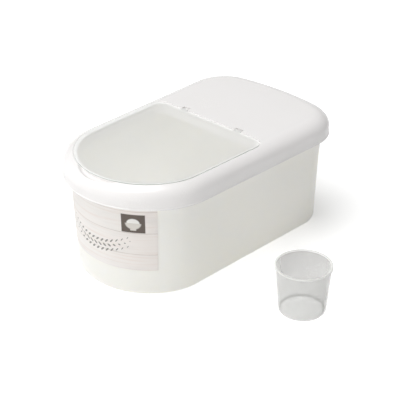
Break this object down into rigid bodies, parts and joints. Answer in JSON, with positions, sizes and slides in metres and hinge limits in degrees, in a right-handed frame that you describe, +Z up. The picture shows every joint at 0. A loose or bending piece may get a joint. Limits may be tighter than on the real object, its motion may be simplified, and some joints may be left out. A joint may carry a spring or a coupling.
{
  "type": "rice bin with flip lid",
  "caption": "Deep D-shaped plastic rice bin with a lift-off rolled-edge lid, a clear flap hinged in the lid, a wrap-round front label and a tapered measuring cup.",
  "frame": {"origin": "on the floor under the middle of the lid's length and width, on the tub's flat underside", "axes": "+Z up, -Y towards the round front with the label and the finger notch, +X towards the measuring cup"},
  "size_m": [0.3772, 0.38, 0.161],
  "materials": {
    "tub_plastic": "satin, faintly translucent off-white polypropylene",
    "lid_plastic": "glossy white polypropylene",
    "clear_plastic": "clear, very slightly grey-green plastic with a polished face",
    "label_paper": "printed pale wood-plank pattern on coated paper",
    "cup_plastic": "frosted translucent polypropylene"
  },
  "bodies": {
    "tub": {"bin_body": "tub_plastic", "front_label": "label_paper"},
    "lid": {"lid_frame": "lid_plastic"},
    "flap": {"flip_flap": "clear_plastic"},
    "cup": {"measuring_cup": "cup_plastic"}
  },
  "joints": [
    {"name": "lid_lift", "type": "slide", "parent": "tub", "child": "lid", "axis": [0, 0, 1], "range_m": [0, 0.1]},
    {"name": "flap_hinge", "type": "hinge", "parent": "lid", "child": "flap", "pos_m": [0, 0.0388, 0.1584], "axis": [-1, 0, 0], "range_deg": [0, 105]},
    {"name": "cup_lift", "type": "slide", "parent": "tub", "child": "cup", "axis": [0, 0, 1], "range_m": [0, 0.2]}
  ]
}
